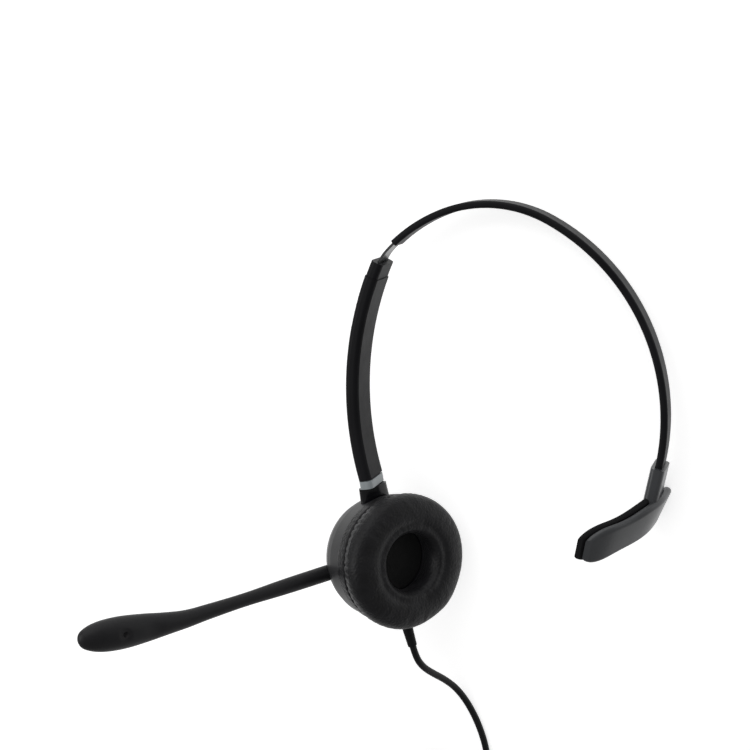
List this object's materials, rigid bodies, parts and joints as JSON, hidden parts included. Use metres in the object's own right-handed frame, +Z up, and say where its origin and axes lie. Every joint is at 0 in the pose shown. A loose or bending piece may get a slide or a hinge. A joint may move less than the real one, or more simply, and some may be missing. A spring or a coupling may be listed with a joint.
{
  "type": "office headset",
  "caption": "One-ear office headset lying on its back, with a sliding headband, a swivelling ear cup, a turning microphone boom and a coiled cord with its plug.",
  "frame": {"origin": "on the surface it lies on, under the middle of the headset without its cord", "axes": "+X from the ear cup to the temple pad, +Y to the crown of the headband, +Z up, towards the wearer's front"},
  "size_m": [0.1886, 0.3036, 0.1362],
  "materials": {
    "satin_black": "satin moulded",
    "inner_plastic": "matte",
    "spring_steel": "drawn",
    "silver_trim": "satin silver",
    "satin_strip": "smooth",
    "band_black": "satin",
    "temple_plastic": "satin",
    "soft_rubber": "soft matte",
    "cup_plastic": "fine texture",
    "gloss_black": "glossy",
    "magnet_steel": "nickel",
    "film": "clear film",
    "speaker_fabric": "fine weave",
    "leatherette": "fine grain",
    "board": "solder mask",
    "cord_jacket": "smooth",
    "tie_fabric": "hook and loop",
    "gold_contacts": "gold flash",
    "boom_rubber": "matte"
  },
  "bodies": {
    "arm": {"arm_outer_shell": "satin_black", "arm_inner_cover": "satin_black", "arm_collar": "satin_black", "neck_bush": "inner_plastic", "click_spring": "spring_steel", "trim_ring": "silver_trim"},
    "headband": {"slider_strip": "satin_strip", "band_sheath": "band_black", "end_stop": "spring_steel", "temple_bar": "temple_plastic", "temple_pad": "soft_rubber"},
    "cup": {"cup_housing": "cup_plastic", "pivot_neck": "gloss_black", "post_clip": "spring_steel", "strain_relief": "soft_rubber", "baffle_plate": "inner_plastic", "driver_frame": "inner_plastic", "driver_magnet": "magnet_steel", "diaphragm": "film", "speaker_cloth": "speaker_fabric", "cushion_ring": "inner_plastic", "ear_cushion": "leatherette", "junction_board": "board", "cup_screws": "spring_steel", "cord_lead": "cord_jacket", "cord_tail": "cord_jacket", "cord_coil": "cord_jacket", "cord_tie": "tie_fabric", "plug_body": "satin_black", "plug_contacts": "gold_contacts", "plug_boot": "soft_rubber"},
    "boom": {"back_cap": "cup_plastic", "cap_clip": "inner_plastic", "cap_badge": "gloss_black", "boom_stalk": "boom_rubber", "mic_head": "boom_rubber", "mic_capsule": "magnet_steel"}
  },
  "joints": [
    {"name": "headband_slide", "type": "hinge", "parent": "arm", "child": "headband", "pos_m": [0.09753, 0.01663, 0.00819], "axis": [-0.082, -0.1007, -0.9915], "range_deg": [0, 11]},
    {"name": "cup_swivel", "type": "hinge", "parent": "arm", "child": "cup", "pos_m": [-0.01974, -0.05424, 0.02507], "axis": [-0.1902, 0.9782, -0.0836], "range_deg": [-56, 64]},
    {"name": "boom_turn", "type": "hinge", "parent": "cup", "child": "boom", "pos_m": [-0.01974, -0.05424, 0.02507], "axis": [0.8569, 0.207, 0.4722], "range_deg": [-233, 57]}
  ]
}
